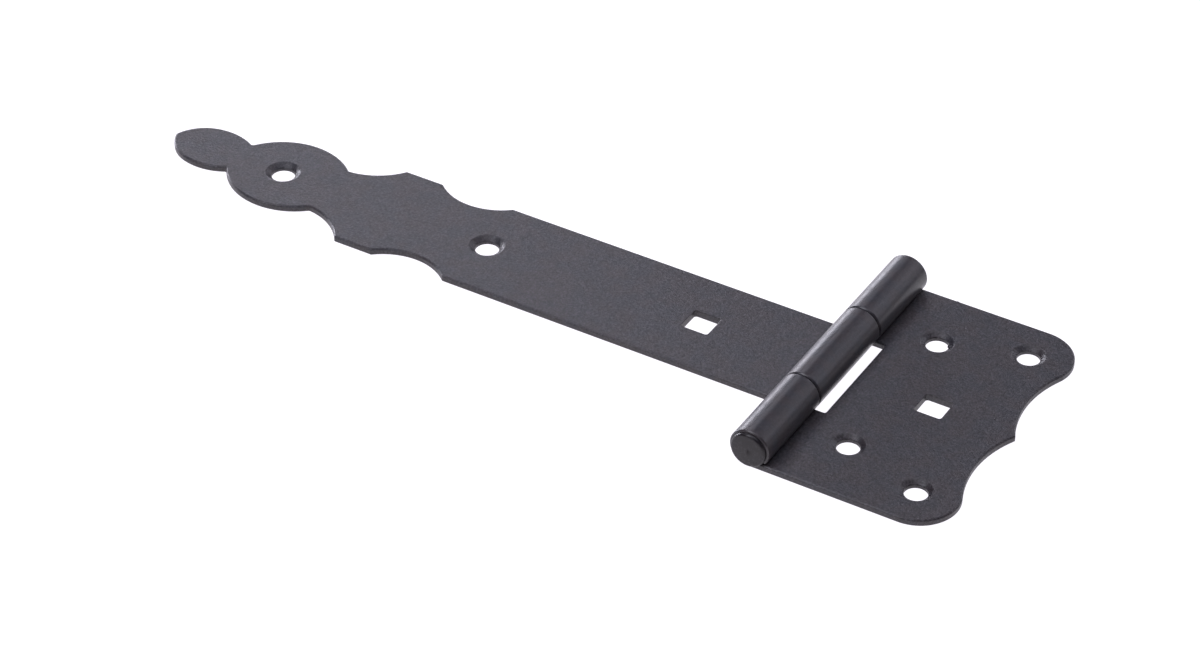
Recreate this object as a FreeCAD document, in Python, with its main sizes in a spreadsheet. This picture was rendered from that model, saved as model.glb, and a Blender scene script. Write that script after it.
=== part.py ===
"""Ornamental T hinge: a long strap leaf, a cross plate and the pin that joins their rolled knuckles.

Frame, in millimetres: Z = 0 is the back of both leaves, the face that lies on the wood. The pin runs along Y
above the origin, the strap reaches to -X and the cross plate to +X. The origin is on the back face, under
the middle of the pin.
"""
import FreeCAD, Part
import math
import os
import Sketcher

SIZES = {
    # both leaves
    "sheet_thickness": 2.0,
    "edge_break": 0.35,
    # barrel
    "pin_diameter": 6.8,
    "running_clearance": 0.08,
    "joint_gap": 0.3,
    "roll_gap": 0.25,
    # strap leaf, measured from the pin's axis or, for the ornament, from the tip
    "strap_length": 201.8,
    "strap_width": 35.0,
    "shoulder_depth": 1.7,
    "shoulder_gap": 0.7,
    "scallop_from_tip": 86.1,
    "scallop_waist": 26.5,
    "scallop_radius": 16.5,
    "sweep_from_tip": 48.6,
    "sweep_waist": 18.9,
    "sweep_radius": 17.9,
    "lobe_from_tip": 36.9,
    "lobe_width": 29.3,
    "lobe_radius": 19.3,
    "leaf_from_tip": 12.5,
    "leaf_width": 16.8,
    "leaf_radius": 16.0,
    "tip_radius": 12.0,
    "nose_rounding": 1.2,
    "valley_rounding": 0.8,
    "corner_rounding": 0.5,
    # cross plate
    "plate_length": 85.0,
    "plate_reach": 51.5,
    "cusp_reach": 51.4,
    "plate_corner_radius": 10.9,
    "wave_radius": 31.8,
    "notch_reach": 7.1,
    # countersunk screw holes
    "strap_hole_diameter": 6.7,
    "strap_sink_diameter": 9.8,
    "plate_hole_diameter": 6.3,
    "plate_sink_diameter": 9.2,
    "sink_angle": 90.0,
    "tip_hole_from_tip": 35.3,
    "mid_hole_from_tip": 100.0,
    "inner_hole_reach": 17.8,
    "inner_hole_spacing": 48.3,
    "outer_hole_reach": 40.0,
    "outer_hole_spacing": 62.4,
    # square holes for coach bolts
    "strap_square": 7.8,
    "strap_square_reach": 37.4,
    "plate_square": 7.6,
    "plate_square_reach": 28.9,
    "square_corner_radius": 0.8,
    # pin
    "head_diameter": 9.7,
    "head_height": 1.1,
    "head_dome": 0.25,
    "head_rounding": 0.75,
    "tail_stand": 0.4,
    "tail_chamfer": 0.4,
}

# Formulas for sizes that follow from the ones above
BORE_RADIUS = "(Sizes.pin_diameter / 2 + Sizes.running_clearance)"
BARREL_RADIUS = "(Sizes.pin_diameter / 2 + Sizes.running_clearance + Sizes.sheet_thickness)"
ROLL_END_RISE = "(" + BARREL_RADIUS + " - Sizes.sheet_thickness - Sizes.roll_gap)"
SHOULDER_REACH = "(" + BARREL_RADIUS + " + Sizes.shoulder_gap)"
NECK_HALF = "(Sizes.strap_width / 2 - Sizes.shoulder_depth)"
NOTCH_HALF = "(" + NECK_HALF + " + Sizes.joint_gap)"

# Points nearer than this, in millimetres, are one point
TOUCH = 1e-6
# A drawn corner and the edge that grew from it are nearer than this, in millimetres
BESIDE = 1e-3
# Faces whose normals have a larger product than this run on into each other
SMOOTH = 0.98
UP = FreeCAD.Vector(0, 0, 1)

doc = FreeCAD.newDocument("TeeHinge")
sizes = doc.addObject("Spreadsheet::Sheet", "Sizes")
for row, (alias, number) in enumerate(SIZES.items(), start=1):
    sizes.set("A%d" % row, alias.replace("_", " "))
    sizes.set("B%d" % row, str(number))
    sizes.setAlias("B%d" % row, alias)
doc.recompute()


def value(formula):
    """The number that a formula gives, in millimetres."""
    return float(sizes.evalExpression(formula))


def half(alias):
    """The formula for half of one size."""
    return "(Sizes." + alias + " / 2)"


def from_tip(alias):
    """The formula for a place's distance from the pin's axis, out of its distance from the strap's tip."""
    return "(Sizes.strap_length - Sizes." + alias + ")"


def new_body(name, label):
    body = doc.addObject("PartDesign::Body", name)
    body.Label = label
    body.Placement = FreeCAD.Placement()
    return body


def new_sketch(body, name, role, height=None):
    """A sketch on one of the body's own planes, raised off it along its normal by a formula."""
    sketch = body.newObject("Sketcher::SketchObject", name)
    plane = next(feature for feature in body.Origin.OriginFeatures if feature.Role == role)
    sketch.AttachmentSupport = (plane, [""])
    sketch.MapMode = "FlatFace"
    if height:
        sketch.setExpression("AttachmentOffset.Base.z", height)
    return sketch


def line(sketch, start, end):
    return sketch.addGeometry(Part.LineSegment(FreeCAD.Vector(*start), FreeCAD.Vector(*end)))


def arc(sketch, centre, start, end):
    """An arc that runs anticlockwise about its centre from start to end."""
    radius = math.dist(centre, start)
    first = math.atan2(start[1] - centre[1], start[0] - centre[0])
    last = math.atan2(end[1] - centre[1], end[0] - centre[0])
    if last <= first:
        last += 2 * math.pi
    circle = Part.Circle(FreeCAD.Vector(*centre), UP, radius)
    return sketch.addGeometry(Part.ArcOfCircle(circle, first, last))


def bind(sketch, kind, where, formula):
    """Adds a constraint whose size follows a formula. A leading minus measures the distance backwards."""
    if formula.startswith("-"):
        formula = formula[1:]
        where = where[2:] + where[:2]
    index = sketch.addConstraint(Sketcher.Constraint(kind, *where, value(formula)))
    name = "size_%d" % index
    sketch.renameConstraint(index, name)
    sketch.setExpression("Constraints." + name, formula)


def set_x(sketch, edge, point, formula):
    bind(sketch, "DistanceX", (-1, 1, edge, point), formula)


def set_y(sketch, edge, point, formula):
    bind(sketch, "DistanceY", (-1, 1, edge, point), formula)


def set_circle(sketch, edge, x, y, radius):
    """Holds an arc's centre and radius."""
    set_x(sketch, edge, 3, x)
    set_y(sketch, edge, 3, y)
    bind(sketch, "Radius", (edge,), radius)


def relate(sketch, kind, *where):
    sketch.addConstraint(Sketcher.Constraint(kind, *where))


def join(sketch, edges, smooth=()):
    """Makes the ends of neighbouring edges one point, all round an outline, and runs the smooth pairs on in line."""
    for pair in zip(edges, edges[1:] + edges[:1]):
        kind = "Tangent" if pair in smooth else "Coincident"
        for end in (1, 2):
            for start in (1, 2):
                gap = sketch.getPoint(pair[0], end) - sketch.getPoint(pair[1], start)
                if gap.Length < TOUCH:
                    relate(sketch, kind, pair[0], end, pair[1], start)


def circles_meet(centre_a, radius_a, centre_b, radius_b):
    """The two points where two circles cross."""
    apart = math.dist(centre_a, centre_b)
    along = (apart**2 + radius_a**2 - radius_b**2) / (2 * apart)
    across = math.sqrt(radius_a**2 - along**2)
    to_b = ((centre_b[0] - centre_a[0]) / apart, (centre_b[1] - centre_a[1]) / apart)
    foot = (centre_a[0] + along * to_b[0], centre_a[1] + along * to_b[1])
    return [(foot[0] - side * across * to_b[1], foot[1] + side * across * to_b[0]) for side in (1, -1)]


def highest(points):
    return max(points, key=lambda point: point[1])


def pad(body, name, sketch, length, symmetric=False):
    feature = body.newObject("PartDesign::Pad", name)
    feature.Profile = sketch
    feature.setExpression("Length", length)
    if symmetric:
        feature.SideType = "Symmetric"
    feature.Refine = True
    doc.recompute()
    return feature


def pocket_through(body, name, sketch):
    """Cuts a sketch through the body both ways, and makes sure that it did cut."""
    before = body.Shape.Volume
    feature = body.newObject("PartDesign::Pocket", name)
    feature.Profile = sketch
    feature.Type = "ThroughAll"
    feature.SideType = "Symmetric"
    doc.recompute()
    if not body.Shape.Volume < before:
        raise ValueError(name + " cuts nothing")
    return feature


def mirror_across_middle(body, name, original):
    """Repeats the upper half of a flat outline below the middle line."""
    feature = body.newObject("PartDesign::Mirrored", name)
    feature.Originals = [original]
    plane = next(item for item in body.Origin.OriginFeatures if item.Role == "XZ_Plane")
    feature.MirrorPlane = (plane, [""])
    feature.Refine = True
    body.Tip = feature
    doc.recompute()
    return feature


def round_edges(body, name, edges, radius):
    base = body.Tip
    feature = body.newObject("PartDesign::Fillet", name)
    feature.Base = (base, edges)
    feature.setExpression("Radius", radius)
    body.Tip = feature
    doc.recompute()
    return feature


def break_edges(body, name, edges, size):
    base = body.Tip
    feature = body.newObject("PartDesign::Chamfer", name)
    feature.Base = (base, edges)
    feature.setExpression("Size", size)
    body.Tip = feature
    doc.recompute()
    return feature


def upright_edges(shape, spots):
    """Names of the straight edges along Z that stand at the given spots and at their mirror images."""
    names = []
    for index, edge in enumerate(shape.Edges, start=1):
        box = edge.BoundBox
        if box.ZLength < value("Sizes.sheet_thickness") / 2 or box.XLength > TOUCH:
            continue
        if any(math.hypot(box.Center.x - x, abs(box.Center.y) - y) < BESIDE for x, y in spots):
            names.append("Edge%d" % index)
    return names


def sharp_edges(shape):
    """Names of the edges where two faces meet at an angle."""
    names = []
    for index, edge in enumerate(shape.Edges, start=1):
        middle = edge.valueAt((edge.FirstParameter + edge.LastParameter) / 2)
        faces = shape.ancestorsOfType(edge, Part.Face)
        normals = [face.normalAt(*face.Surface.parameter(middle)) for face in faces]
        if len(normals) == 2 and normals[0].dot(normals[1]) < SMOOTH:
            names.append("Edge%d" % index)
    return names


def rolled_knuckle(body, name, toward, length):
    """The leaf's edge rolled up from the back face and over the pin, until it nearly meets the leaf again.

    toward is the side, -1 or 1 along X, that the flat of the leaf lies on.
    """
    sketch = new_sketch(body, name + "Profile", "XZ_Plane")
    bore, barrel = value(BORE_RADIUS), value(BARREL_RADIUS)
    centre = (0, barrel)
    end_angle = math.asin(value(ROLL_END_RISE) / barrel)
    ends = [(toward * radius * math.cos(end_angle), barrel - radius * math.sin(end_angle))
            for radius in (barrel, bore)]
    starts = [(0, 0), (0, value("Sizes.sheet_thickness"))]
    if toward > 0:
        outer = arc(sketch, centre, ends[0], starts[0])
        inner = arc(sketch, centre, ends[1], starts[1])
    else:
        outer = arc(sketch, centre, starts[0], ends[0])
        inner = arc(sketch, centre, starts[1], ends[1])
    lip = line(sketch, ends[0], ends[1])
    root = line(sketch, starts[1], starts[0])
    join(sketch, [outer, lip, inner, root])
    set_circle(sketch, outer, "0", BARREL_RADIUS, BARREL_RADIUS)
    relate(sketch, "Coincident", inner, 3, outer, 3)
    bind(sketch, "Radius", (inner,), BORE_RADIUS)
    relate(sketch, "PointOnObject", root, 1, -2)
    relate(sketch, "PointOnObject", root, 2, -2)
    relate(sketch, "PointOnObject", outer, 3, lip)
    set_y(sketch, lip, 1, "(Sizes.sheet_thickness + Sizes.roll_gap)")
    return pad(body, name, sketch, length, symmetric=True)


def screw_holes(body, name, spots, diameter, sink_diameter):
    """Round holes, countersunk from the face side. spots holds formulas for X and Y."""
    sketch = new_sketch(body, name + "Centres", "XY_Plane", "Sizes.sheet_thickness")
    for x, y in spots:
        centre = FreeCAD.Vector(value(x), value(y))
        circle = sketch.addGeometry(Part.Circle(centre, UP, value(diameter) / 2))
        bind(sketch, "Diameter", (circle,), diameter)
        set_x(sketch, circle, 3, x)
        set_y(sketch, circle, 3, y)
    doc.recompute()
    before = body.Shape.Volume
    feature = body.newObject("PartDesign::Hole", name)
    feature.Profile = sketch
    feature.DepthType = "ThroughAll"
    feature.setExpression("Diameter", diameter)
    feature.HoleCutType = "Countersink"
    feature.HoleCutCustomValues = True
    feature.setExpression("HoleCutDiameter", sink_diameter)
    feature.setExpression("HoleCutCountersinkAngle", "Sizes.sink_angle")
    doc.recompute()
    if not body.Shape.Volume < before:
        raise ValueError(name + " cuts nothing")
    return feature


def rectangle(sketch, left, right, bottom, top):
    """A rectangle between four formulas."""
    corners = [(value(x), value(y)) for x, y in ((left, bottom), (right, bottom), (right, top), (left, top))]
    sides = [line(sketch, start, end) for start, end in zip(corners, corners[1:] + corners[:1])]
    join(sketch, sides)
    for side in sides[0::2]:
        relate(sketch, "Horizontal", side)
    for side in sides[1::2]:
        relate(sketch, "Vertical", side)
    set_x(sketch, sides[0], 1, left)
    set_y(sketch, sides[0], 1, bottom)
    set_x(sketch, sides[2], 1, right)
    set_y(sketch, sides[2], 1, top)


def square_hole(body, name, sign, reach, side):
    """A square hole on the middle line for a coach bolt's neck, with rounded corners.

    sign is "-" on the strap's side of the pin and "" on the plate's.
    """
    sketch = new_sketch(body, name + "Outline", "XY_Plane")
    near = sign + "(Sizes." + reach + " - Sizes." + side + " / 2)"
    far = sign + "(Sizes." + reach + " + Sizes." + side + " / 2)"
    rectangle(sketch, near, far, "-" + half(side), half(side))
    pocket_through(body, name, sketch)
    corners = [(value(x), value(half(side))) for x in (near, far)]
    return round_edges(body, name + "Corners", upright_edges(body.Shape, corners), "Sizes.square_corner_radius")


def strap_outline(body):
    """Upper half of the strap: neck, shoulder, band, scallop, sweep, round lobe and pointed leaf."""
    sketch = new_sketch(body, "StrapOutline", "XY_Plane")
    band = value(half("strap_width"))
    neck = value(NECK_HALF)
    shoulder = value(SHOULDER_REACH)
    tip = (-value("Sizes.strap_length"), 0)
    circles = {}
    for name, wide in (("scallop", "waist"), ("sweep", "waist"), ("lobe", "width"), ("leaf", "width")):
        radius = value("Sizes." + name + "_radius")
        outside = 1 if wide == "waist" else -1
        station = -value(from_tip(name + "_from_tip"))
        circles[name] = ((station, value(half(name + "_" + wide)) + outside * radius), radius)
    leaf_centre, leaf_radius = circles["leaf"]
    lobe_centre, lobe_radius = circles["lobe"]
    sweep_centre, sweep_radius = circles["sweep"]
    scallop_centre, scallop_radius = circles["scallop"]
    tip_radius = value("Sizes.tip_radius")
    tip_centre = highest(circles_meet(leaf_centre, leaf_radius - tip_radius, tip, tip_radius))
    stretch = leaf_radius / (leaf_radius - tip_radius)
    blend = tuple(a + (b - a) * stretch for a, b in zip(leaf_centre, tip_centre))
    neck_of_leaf = highest(circles_meet(leaf_centre, leaf_radius, lobe_centre, lobe_radius))
    sweep_points = circles_meet(sweep_centre, sweep_radius, lobe_centre, lobe_radius)
    waist = min(sweep_points, key=lambda point: point[1])
    sweep_top = (sweep_centre[0] + math.sqrt(sweep_radius**2 - (sweep_centre[1] - band) ** 2), band)
    scallop_reach = math.sqrt(scallop_radius**2 - (scallop_centre[1] - band) ** 2)
    scallop_far = (scallop_centre[0] - scallop_reach, band)
    scallop_near = (scallop_centre[0] + scallop_reach, band)

    middle_line = line(sketch, (0, 0), tip)
    tip_arc = arc(sketch, tip_centre, blend, tip)
    leaf_arc = arc(sketch, leaf_centre, neck_of_leaf, blend)
    lobe_arc = arc(sketch, lobe_centre, waist, neck_of_leaf)
    sweep_arc = arc(sketch, sweep_centre, waist, sweep_top)
    tab = line(sketch, sweep_top, scallop_far)
    scallop_arc = arc(sketch, scallop_centre, scallop_far, scallop_near)
    band_edge = line(sketch, scallop_near, (-shoulder, band))
    shoulder_edge = line(sketch, (-shoulder, band), (-shoulder, neck))
    neck_edge = line(sketch, (-shoulder, neck), (0, neck))
    root = line(sketch, (0, neck), (0, 0))
    edges = [middle_line, tip_arc, leaf_arc, lobe_arc, sweep_arc, tab, scallop_arc, band_edge, shoulder_edge,
             neck_edge, root]
    join(sketch, edges, smooth=[(tip_arc, leaf_arc)])

    relate(sketch, "Coincident", middle_line, 1, -1, 1)
    relate(sketch, "PointOnObject", middle_line, 2, -1)
    set_x(sketch, middle_line, 2, "-Sizes.strap_length")
    bind(sketch, "Radius", (tip_arc,), "Sizes.tip_radius")
    for edge, name, wide in ((leaf_arc, "leaf", "width"), (lobe_arc, "lobe", "width"),
                             (sweep_arc, "sweep", "waist"), (scallop_arc, "scallop", "waist")):
        station = "-" + from_tip(name + "_from_tip")
        radius = "Sizes." + name + "_radius"
        if wide == "waist":
            height = "(Sizes." + name + "_waist / 2 + " + radius + ")"
        else:
            height = "-(" + radius + " - Sizes." + name + "_width / 2)"
        set_circle(sketch, edge, station, height, radius)
    for edge in (tab, band_edge, neck_edge):
        relate(sketch, "Horizontal", edge)
    relate(sketch, "Vertical", shoulder_edge)
    relate(sketch, "Vertical", root)
    set_y(sketch, tab, 1, half("strap_width"))
    set_y(sketch, band_edge, 1, half("strap_width"))
    set_x(sketch, shoulder_edge, 1, "-" + SHOULDER_REACH)
    set_y(sketch, neck_edge, 1, NECK_HALF)
    spots = {"valley": [waist, neck_of_leaf], "corner": [sweep_top, scallop_far, scallop_near], "nose": [tip]}
    return sketch, spots


def strap_leaf():
    body = new_body("StrapLeaf", "strap_leaf")
    sketch, spots = strap_outline(body)
    flat = pad(body, "StrapHalf", sketch, "Sizes.sheet_thickness")
    mirror_across_middle(body, "StrapWhole", flat)
    rolled_knuckle(body, "StrapKnuckle", -1, "(2 * " + NECK_HALF + ")")
    for name, places in spots.items():
        edges = upright_edges(body.Shape, places)
        round_edges(body, "Strap" + name.capitalize(), edges, "Sizes." + name + "_rounding")
    break_edges(body, "StrapArris", sharp_edges(body.Shape), "Sizes.edge_break")
    centres = [("-" + from_tip("tip_hole_from_tip"), "0"), ("-" + from_tip("mid_hole_from_tip"), "0")]
    screw_holes(body, "StrapScrewHoles", centres, "Sizes.strap_hole_diameter", "Sizes.strap_sink_diameter")
    square_hole(body, "StrapSquareHole", "-", "strap_square_reach", "strap_square")
    return body


def plate_outline(body):
    """Far half of the cross plate: a square edge at the barrel, a round corner and a wave up to the middle cusp."""
    sketch = new_sketch(body, "PlateOutline", "XY_Plane")
    length = value(half("plate_length"))
    corner_radius = value("Sizes.plate_corner_radius")
    wave_radius = value("Sizes.wave_radius")
    cusp = (value("Sizes.cusp_reach"), 0)
    corner_centre = (value("Sizes.plate_reach") - corner_radius, length - corner_radius)
    wave_centre = max(circles_meet(cusp, wave_radius, corner_centre, wave_radius + corner_radius))
    share = corner_radius / (wave_radius + corner_radius)
    blend = tuple(a + (b - a) * share for a, b in zip(corner_centre, wave_centre))
    corner_end = (corner_centre[0], length)

    middle_line = line(sketch, (0, 0), cusp)
    wave = arc(sketch, wave_centre, blend, cusp)
    corner = arc(sketch, corner_centre, blend, corner_end)
    side = line(sketch, corner_end, (0, length))
    root = line(sketch, (0, length), (0, 0))
    join(sketch, [middle_line, wave, corner, side, root], smooth=[(wave, corner), (corner, side)])
    relate(sketch, "Coincident", middle_line, 1, -1, 1)
    relate(sketch, "PointOnObject", middle_line, 2, -1)
    set_x(sketch, middle_line, 2, "Sizes.cusp_reach")
    bind(sketch, "Radius", (wave,), "Sizes.wave_radius")
    relate(sketch, "Horizontal", side)
    relate(sketch, "Vertical", root)
    bind(sketch, "Radius", (corner,), "Sizes.plate_corner_radius")
    set_x(sketch, corner, 3, "(Sizes.plate_reach - Sizes.plate_corner_radius)")
    set_y(sketch, side, 1, half("plate_length"))
    return sketch, [cusp]


def plate_notch(body):
    """The gap between the outer knuckles, deep enough for the strap's knuckle to turn in."""
    sketch = new_sketch(body, "NotchOutline", "XY_Plane")
    rectangle(sketch, "-" + SHOULDER_REACH, "Sizes.notch_reach", "-" + NOTCH_HALF, NOTCH_HALF)
    pocket_through(body, "Notch", sketch)
    corners = [(value("Sizes.notch_reach"), value(NOTCH_HALF))]
    return round_edges(body, "NotchCorners", upright_edges(body.Shape, corners), "Sizes.corner_rounding")


def cross_plate():
    body = new_body("CrossPlate", "cross_plate")
    sketch, cusp = plate_outline(body)
    flat = pad(body, "PlateHalf", sketch, "Sizes.sheet_thickness")
    mirror_across_middle(body, "PlateWhole", flat)
    rolled_knuckle(body, "PlateKnuckles", 1, "Sizes.plate_length")
    plate_notch(body)
    round_edges(body, "PlateCusp", upright_edges(body.Shape, cusp), "Sizes.corner_rounding")
    break_edges(body, "PlateArris", sharp_edges(body.Shape), "Sizes.edge_break")
    centres = []
    for row in ("inner", "outer"):
        for sign in ("", "-"):
            centres.append(("Sizes." + row + "_hole_reach", sign + half(row + "_hole_spacing")))
    screw_holes(body, "PlateScrewHoles", centres, "Sizes.plate_hole_diameter", "Sizes.plate_sink_diameter")
    square_hole(body, "PlateSquareHole", "", "plate_square_reach", "plate_square")
    return body


def rim_at(shape, y):
    """Name of the round edge that stands square to the pin at the given place along it."""
    for index, edge in enumerate(shape.Edges, start=1):
        box = edge.BoundBox
        if edge.isClosed() and box.YLength < TOUCH and abs(box.YMin - y) < TOUCH:
            return ["Edge%d" % index]
    raise ValueError("no rim at %g" % y)


def hinge_pin():
    """The pin: a domed head at the near end, a plain shank and a chamfered tail at the far end."""
    body = new_body("HingePin", "hinge_pin")
    sketch = new_sketch(body, "PinProfile", "YZ_Plane")
    sketch.setExpression("AttachmentOffset.Base.y", BARREL_RADIUS)
    end = value(half("plate_length"))
    shank = value(half("pin_diameter"))
    head = value(half("head_diameter"))
    top = end + value("Sizes.head_height")
    rim = top - value("Sizes.head_dome")
    tail = end + value("Sizes.tail_stand")
    dome_radius = (head**2 + (top - rim) ** 2) / (2 * (top - rim))
    face = arc(sketch, (dome_radius - top, 0), (-rim, head), (-top, 0))
    rows = [(-rim, head), (-end, head), (-end, shank), (tail, shank), (tail, 0), (-top, 0)]
    edges = [line(sketch, start, finish) for start, finish in zip(rows, rows[1:])]
    join(sketch, [face] + edges)
    for edge in edges[0::2]:
        relate(sketch, "Horizontal", edge)
    for edge in edges[1::2]:
        relate(sketch, "Vertical", edge)
    relate(sketch, "PointOnObject", face, 3, -1)
    relate(sketch, "PointOnObject", face, 2, -1)
    set_x(sketch, face, 2, "-(Sizes.plate_length / 2 + Sizes.head_height)")
    set_x(sketch, edges[0], 1, "-(Sizes.plate_length / 2 + Sizes.head_height - Sizes.head_dome)")
    set_y(sketch, edges[0], 1, half("head_diameter"))
    set_x(sketch, edges[1], 1, "-" + half("plate_length"))
    set_y(sketch, edges[2], 1, half("pin_diameter"))
    set_x(sketch, edges[3], 1, "(Sizes.plate_length / 2 + Sizes.tail_stand)")
    turned = body.newObject("PartDesign::Revolution", "PinTurned")
    turned.Profile = sketch
    turned.ReferenceAxis = (sketch, ["H_Axis"])
    doc.recompute()
    round_edges(body, "HeadRim", rim_at(body.Shape, -rim), "Sizes.head_rounding")
    break_edges(body, "TailRim", rim_at(body.Shape, tail), "Sizes.tail_chamfer")
    return body


def check(bodies):
    for item in doc.Objects:
        if "Invalid" in item.State or "Error" in item.State:
            raise ValueError(item.Label + " did not recompute")
    for body in bodies:
        if body.Shape.isNull() or not body.Shape.isValid() or len(body.Shape.Solids) != 1:
            raise ValueError(body.Label + " is not one sound solid")


bodies = [strap_leaf(), cross_plate(), hinge_pin()]
doc.recompute()
check(bodies)
os.makedirs("parts", exist_ok=True)
for body in bodies:
    body.Shape.exportStep(os.path.join("parts", body.Label + ".step"))
    print(body.Label, "volume", round(body.Shape.Volume, 1), "box", body.Shape.BoundBox)
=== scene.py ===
"""The looks of the ornamental T hinge: black powder coat on stamped steel, on a pale floor in soft light."""

from math import cos, pi, radians, sin, tan

import bmesh
import bpy
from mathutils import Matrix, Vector


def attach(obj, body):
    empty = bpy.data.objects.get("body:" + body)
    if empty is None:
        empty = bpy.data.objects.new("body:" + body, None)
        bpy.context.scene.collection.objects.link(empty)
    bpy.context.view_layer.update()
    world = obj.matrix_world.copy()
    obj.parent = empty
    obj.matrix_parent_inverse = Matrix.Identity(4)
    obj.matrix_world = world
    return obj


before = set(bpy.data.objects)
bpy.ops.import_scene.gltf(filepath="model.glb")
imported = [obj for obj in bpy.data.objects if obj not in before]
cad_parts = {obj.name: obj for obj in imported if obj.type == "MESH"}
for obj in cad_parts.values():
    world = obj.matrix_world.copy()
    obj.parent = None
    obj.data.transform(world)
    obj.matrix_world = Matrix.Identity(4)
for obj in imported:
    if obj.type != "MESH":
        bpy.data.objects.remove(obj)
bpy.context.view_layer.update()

MM = 0.001
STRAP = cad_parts["strap_leaf"]
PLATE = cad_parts["cross_plate"]
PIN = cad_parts["hinge_pin"]

# The camera, in metres, degrees and millimetres of lens
CAMERA_PLACE = (0.33235, -0.67936, 0.58398)
CAMERA_TURN = (52.9386, -0.4735, 30.8228)
CAMERA_LENS = 113.872
CAMERA_SENSOR = 36.0

# Softboxes that face the hinge: degrees round from +Y towards +X, degrees up, width, height, power in watts
LIGHTS = {
    "left_strip": (-45, 6.5, 0.80, 0.29, 5.7),
    "left_low": (-75, 6.5, 0.80, 0.29, 12.6),
    "back_left_softbox": (-45, 43, 0.80, 0.40, 3.3),
    "back_softbox": (10, 24, 0.90, 0.60, 4.5),
    "back_right_softbox": (50, 22, 0.80, 0.50, 1.85),
    "front_left_softbox": (-152, 46, 0.50, 0.40, 7.4),
    "overhead": (0, 90, 1.60, 1.60, 13.2),
}
LIGHT_DISTANCE = 1.5
LIGHT_COLOUR = (0.955, 0.95, 1.07)
SKY_COLOUR = (0.955, 0.95, 1.07, 1.0)
SKY_STRENGTH = 0.01

# The floor, which lies just under the leaves and glows so that it stays pale in their shadow
FLOOR_SIZE = 6.0
FLOOR_DROP = 0.02 * MM
FLOOR_COLOUR = (0.2, 0.2, 0.2, 1.0)
FLOOR_ROUGHNESS = 0.9
FLOOR_GLOW_COLOUR = (1.0, 0.97, 1.04, 1.0)
FLOOR_GLOW = 1.03

# Colours of the powder coat, which wander from warm to cool and carry a dark and a light grain
COAT_WARM = (0.0340, 0.0270, 0.0305, 1.0)
COAT_COOL = (0.0275, 0.0265, 0.0335, 1.0)
COAT_DARK_GRAIN = (0.009, 0.008, 0.010, 1.0)
COAT_LIGHT_GRAIN = (0.060, 0.054, 0.063, 1.0)
PIN_WARM = (0.0105, 0.0075, 0.0095, 1.0)
PIN_COOL = (0.0085, 0.0070, 0.0110, 1.0)
# The dust nibs are lighter than the coat: a painted glint that stands for the highlights they catch
NIB_PAINTED_GLINT_COLOUR = (0.11, 0.10, 0.115, 1.0)

# Gloss of the powder coat
COAT_ROUGHNESS = 0.42
ROUGHNESS_WANDER = 0.03
NIB_ROUGHNESS = 0.35
COAT_INDEX = 1.5
PIN_INDEX = 1.43

# Unevenness of the powder coat: how wide its lumps are, how deep they stand, and their shares in the relief
GRAIN_SIZE = 0.6 * MM
PEEL_SIZE = 1.8 * MM
CLOUD_SIZE = 5.0 * MM
GRAIN_CONTRAST = 0.9
RELIEF_DEPTH = 0.14 * MM
RELIEF_STRENGTH = 0.9
GRAIN_RELIEF = 0.7
PEEL_RELIEF = 0.3
EDGE_ROUNDING = 0.4 * MM

# The knuckle, where the coat grows smoother and glossier between two heights above the leaves' faces,
# and the shares of its grain and relief that are left there
SHEET = 2.0 * MM
KNUCKLE_START = SHEET + 0.1 * MM
KNUCKLE_FULL = SHEET + 1.5 * MM
KNUCKLE_GRAIN = 0.3
KNUCKLE_RELIEF = 0.2
KNUCKLE_GLOSS = 0.08

# The coat in the countersinks, in millimetres and degrees: the middles of the screw holes, the radii of the
# coat's rim and of the hole it leaves, its slope, the radii of its two bends, how far it stands above the
# leaf's face and how far it runs out over it
STRAP_HOLES = ((-166.5, 0.0), (-101.8, 0.0))
PLATE_HOLES = ((17.8, 24.15), (17.8, -24.15), (40.0, 31.2), (40.0, -31.2))
STRAP_SINK = {"rim": 4.92, "hole": 3.22}
PLATE_SINK = {"rim": 4.62, "hole": 3.02}
SINK_SLOPE = 38.0
SINK_ROLL = 0.8
HOLE_ROLL = 0.25
COAT_LIFT = 0.012
COAT_SKIRT = 0.35
ROLL_STEPS = 6
RING_STEPS = 72

# Flaws in the cross plate's coat: the middle of each lump and half its three widths, in millimetres
PAINT_DRIPS = (
    ((21.1, 25.2, 0.85), (0.90, 0.60, 0.60)),
    ((14.5, 42.35, 1.2), (0.55, 0.35, 0.75)),
)
# Dust nibs, finished in the lighter painted glint colour; the last one sits on the first drip as its painted
# highlight
DUST_NIBS_WITH_PAINTED_GLINT = (
    ((21.5, 32.8, 2.0), (0.20, 0.20, 0.10)),
    ((43.9, 3.5, 2.0), (0.18, 0.18, 0.10)),
    ((45.3, -40.6, 1.9), (0.28, 0.22, 0.16)),
    ((21.6, 25.0, 1.35), (0.30, 0.35, 0.25)),
)


class Number:
    """A number that varies over a surface. An expression on it adds the Math nodes."""

    def __init__(self, finish, socket):
        self.finish = finish
        self.socket = socket

    def _math(self, operation, first, second):
        node = self.finish.node("ShaderNodeMath", {"operation": operation}, {0: first, 1: second})
        return Number(self.finish, node.outputs[0])

    def __add__(self, other):
        return self._math("ADD", self, other)

    def __sub__(self, other):
        return self._math("SUBTRACT", self, other)

    def __rsub__(self, other):
        return self._math("SUBTRACT", other, self)

    def __mul__(self, other):
        return self._math("MULTIPLY", self, other)


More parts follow.
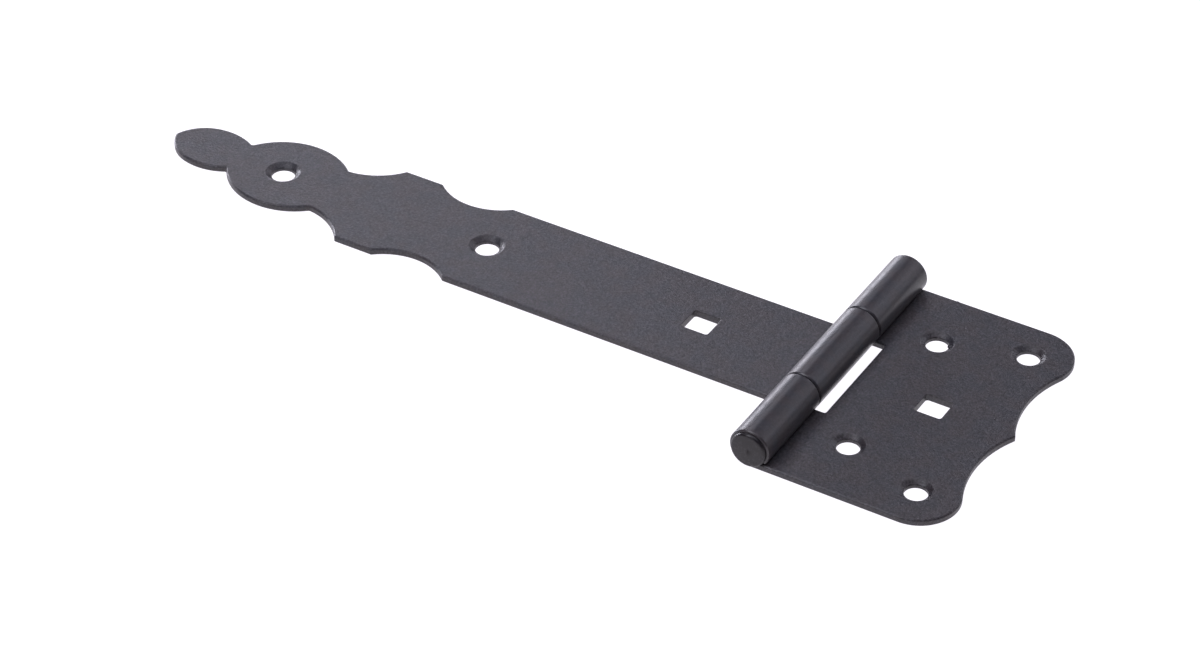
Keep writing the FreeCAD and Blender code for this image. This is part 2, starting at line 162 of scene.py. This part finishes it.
class Finish:
    """One material: a Principled shader and the nodes that feed it."""

    def __init__(self, name):
        self.material = bpy.data.materials.new(name)
        self.material.use_nodes = True
        self.tree = self.material.node_tree
        self.shader = self.tree.nodes["Principled BSDF"]
        coordinates = self.node("ShaderNodeTexCoord")
        self.place = coordinates.outputs["Object"]

    def node(self, kind, settings=None, sockets=None):
        """A node of a kind, with its settings made first and then its sockets' values or links."""
        node = self.tree.nodes.new(kind)
        for name, value in (settings or {}).items():
            setattr(node, name, value)
        for key, value in (sockets or {}).items():
            self.feed(node.inputs[key], value)
        return node

    def feed(self, socket, value):
        """Give a socket a constant, or link a varying value to it."""
        if isinstance(value, Number):
            value = value.socket
        if isinstance(value, bpy.types.NodeSocket):
            self.tree.links.new(value, socket)
        else:
            socket.default_value = value

    def noise(self, grain, detail=2.0, roughness=0.5):
        """Noise from 0 to 1 whose lumps are about a grain across, in metres."""
        node = self.node("ShaderNodeTexNoise", None,
                         {"Vector": self.place, "Scale": 1 / grain, "Detail": detail, "Roughness": roughness})
        return Number(self, node.outputs[0])

    def spread(self, number, low, high, to_low=0.0, to_high=1.0):
        """A number's stretch from low to high, drawn out smoothly over another stretch."""
        stretch = {"Value": number, "From Min": low, "From Max": high, "To Min": to_low, "To Max": to_high}
        node = self.node("ShaderNodeMapRange", {"interpolation_type": "SMOOTHSTEP"}, stretch)
        return Number(self, node.outputs[0])

    def height(self):
        """The height over the back of the leaves, in metres."""
        node = self.node("ShaderNodeSeparateXYZ", None, {0: self.place})
        return Number(self, node.outputs["Z"])

    def mix(self, share, first, second):
        """A colour between two others."""
        node = self.node("ShaderNodeMix", {"data_type": "RGBA"}, {"Factor": share, 6: first, 7: second})
        return node.outputs[2]

    def put_on(self, piece):
        piece.data.materials.clear()
        piece.data.materials.append(self.material)


def powder_coat(name, warm=COAT_WARM, cool=COAT_COOL, index=COAT_INDEX):
    """Black powder coat with a fine grain, smoother and glossier on the rolled knuckle than on the flat."""
    coat = Finish(name)
    grain = coat.noise(GRAIN_SIZE, detail=3.0, roughness=0.6)
    peel = coat.noise(PEEL_SIZE)
    cloud = coat.noise(CLOUD_SIZE, detail=3.0)
    knuckle = coat.spread(coat.height(), KNUCKLE_START, KNUCKLE_FULL)
    flat = 1 - knuckle

    shade = coat.mix(coat.spread(cloud, 0.35, 0.65), warm, cool)
    strength = flat * (1 - KNUCKLE_GRAIN) + KNUCKLE_GRAIN
    dark_share = coat.spread(grain, 0.30, 0.50, GRAIN_CONTRAST, 0.0) * strength
    light_share = coat.spread(grain, 0.50, 0.70, 0.0, GRAIN_CONTRAST) * strength
    speckled = coat.mix(light_share, coat.mix(dark_share, shade, COAT_DARK_GRAIN), COAT_LIGHT_GRAIN)
    coat.feed(coat.shader.inputs["Base Color"], speckled)
    wander = coat.spread(peel, 0.3, 0.7, -ROUGHNESS_WANDER, ROUGHNESS_WANDER)
    coat.feed(coat.shader.inputs["Roughness"], wander + COAT_ROUGHNESS - knuckle * KNUCKLE_GLOSS)

    rounded = coat.node("ShaderNodeBevel", {"samples": 6}, {"Radius": EDGE_ROUNDING})
    relief = (grain * GRAIN_RELIEF + peel * PEEL_RELIEF) * (flat * (1 - KNUCKLE_RELIEF) + KNUCKLE_RELIEF)
    bump = coat.node("ShaderNodeBump", None, {"Strength": RELIEF_STRENGTH, "Distance": RELIEF_DEPTH,
                                              "Height": relief, "Normal": rounded.outputs[0]})
    coat.feed(coat.shader.inputs["Normal"], bump.outputs[0])
    coat.feed(coat.shader.inputs["IOR"], index)
    return coat


# The dust nibs' finish: a colour lighter than the coat, which is a painted glint, and a glossier roughness
def nib_painted_glint_finish():
    finish = Finish("dust_nib_painted_glint")
    finish.feed(finish.shader.inputs["Base Color"], NIB_PAINTED_GLINT_COLOUR)
    finish.feed(finish.shader.inputs["Roughness"], NIB_ROUGHNESS)
    return finish


def add_object(name, shape, finish):
    """Put a finished shape into the scene as an object with its finish on."""
    mesh = bpy.data.meshes.new(name)
    shape.to_mesh(mesh)
    shape.free()
    piece = bpy.data.objects.new(name, mesh)
    bpy.context.scene.collection.objects.link(piece)
    finish.put_on(piece)
    return piece


def smooth(shape):
    for face in shape.faces:
        face.smooth = True


def coat_lumps(name, lumps, finish):
    """Small round lumps that stand out of the cross plate's coat."""
    shape = bmesh.new()
    for middle, reach in lumps:
        ball = bmesh.ops.create_icosphere(shape, subdivisions=3, radius=1)
        bmesh.ops.scale(shape, verts=ball["verts"], vec=Vector(reach) * MM)
        bmesh.ops.translate(shape, verts=ball["verts"], vec=Vector(middle) * MM)
    smooth(shape)
    piece = add_object(name, shape, finish)
    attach(piece, "plate")


def sink_profile(rim, hole):
    """Radii and heights, in millimetres, of the coat from the leaf's face over its rim and down the hole."""
    face = SHEET / MM + COAT_LIFT
    slope = radians(SINK_SLOPE)
    points = [(rim + COAT_SKIRT, face - 2 * COAT_LIFT), (rim + COAT_SKIRT / 2, face)]
    for step in range(ROLL_STEPS + 1):
        turn = slope * step / ROLL_STEPS
        points.append((rim - SINK_ROLL * sin(turn), face - SINK_ROLL * (1 - cos(turn))))
    cone_end = hole + HOLE_ROLL * (1 - sin(slope))
    radius, height = points[-1]
    height -= (radius - cone_end) * tan(slope)
    for step in range(ROLL_STEPS + 1):
        turn = slope + (pi / 2 - slope) * step / ROLL_STEPS
        points.append((hole + HOLE_ROLL * (1 - sin(turn)), height - HOLE_ROLL * (cos(slope) - cos(turn))))
    points.append((hole, COAT_LIFT))
    return points


def sink_coat(name, holes, sink, finish, body):
    """The thick coat in a leaf's countersinks, which softens their rims and narrows the holes a little."""
    shape = bmesh.new()
    for x, y in holes:
        corners = [shape.verts.new(((x + radius) * MM, y * MM, height * MM))
                   for radius, height in sink_profile(**sink)]
        edges = [shape.edges.new(pair) for pair in zip(corners, corners[1:])]
        bmesh.ops.spin(shape, geom=corners + edges, cent=(x * MM, y * MM, 0), axis=(0, 0, 1), angle=2 * pi,
                       steps=RING_STEPS, use_merge=True)
    bmesh.ops.recalc_face_normals(shape, faces=shape.faces)
    smooth(shape)
    piece = add_object(name, shape, finish)
    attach(piece, body)


def floor_finish():
    finish = Finish("pale_floor")
    finish.feed(finish.shader.inputs["Base Color"], FLOOR_COLOUR)
    finish.feed(finish.shader.inputs["Roughness"], FLOOR_ROUGHNESS)
    finish.feed(finish.shader.inputs["Specular IOR Level"], 0.0)
    finish.feed(finish.shader.inputs["Emission Color"], FLOOR_GLOW_COLOUR)
    finish.feed(finish.shader.inputs["Emission Strength"], FLOOR_GLOW)
    return finish


def pale_floor():
    shape = bmesh.new()
    bmesh.ops.create_grid(shape, x_segments=1, y_segments=1, size=FLOOR_SIZE / 2)
    bmesh.ops.translate(shape, verts=shape.verts, vec=(0, 0, -FLOOR_DROP))
    floor = add_object("floor", shape, floor_finish())


def softbox(name, turn, rise, width, height, power):
    """A soft light that faces the hinge from a distance."""
    turn, rise = radians(turn), radians(rise)
    place = LIGHT_DISTANCE * Vector((sin(turn) * cos(rise), cos(turn) * cos(rise), sin(rise)))
    lamp = bpy.data.lights.new(name, "AREA")
    lamp.shape = "RECTANGLE"
    lamp.size = width
    lamp.size_y = height
    lamp.energy = power
    lamp.color = LIGHT_COLOUR
    light = bpy.data.objects.new(name, lamp)
    light.location = place
    light.rotation_euler = (-place).to_track_quat("-Z", "Y").to_euler()
    bpy.context.scene.collection.objects.link(light)


def sky():
    world = bpy.data.worlds.new("pale_sky")
    world.use_nodes = True
    backdrop = world.node_tree.nodes["Background"]
    backdrop.inputs["Color"].default_value = SKY_COLOUR
    backdrop.inputs["Strength"].default_value = SKY_STRENGTH
    bpy.context.scene.world = world


def camera():
    lens = bpy.data.cameras.new("camera")
    lens.lens = CAMERA_LENS
    lens.sensor_width = CAMERA_SENSOR
    view = bpy.data.objects.new("camera", lens)
    view.location = CAMERA_PLACE
    view.rotation_euler = [radians(angle) for angle in CAMERA_TURN]
    bpy.context.scene.collection.objects.link(view)
    bpy.context.scene.camera = view


strap_coat = powder_coat("strap_coat")
strap_coat.put_on(STRAP)
plate_coat = powder_coat("plate_coat")
plate_coat.put_on(PLATE)
powder_coat("pin_coat", PIN_WARM, PIN_COOL, PIN_INDEX).put_on(PIN)
sink_coat("strap_sink_coat", STRAP_HOLES, STRAP_SINK, strap_coat, "strap")
sink_coat("plate_sink_coat", PLATE_HOLES, PLATE_SINK, plate_coat, "plate")
coat_lumps("paint_drips", PAINT_DRIPS, plate_coat)
# The dust nibs, and the painted highlight on the drip, in the lighter painted glint finish
coat_lumps("dust_nibs", DUST_NIBS_WITH_PAINTED_GLINT, nib_painted_glint_finish())
pale_floor()
sky()
for name, settings in LIGHTS.items():
    softbox(name, *settings)
camera()
bpy.context.scene.view_settings.view_transform = "Standard"
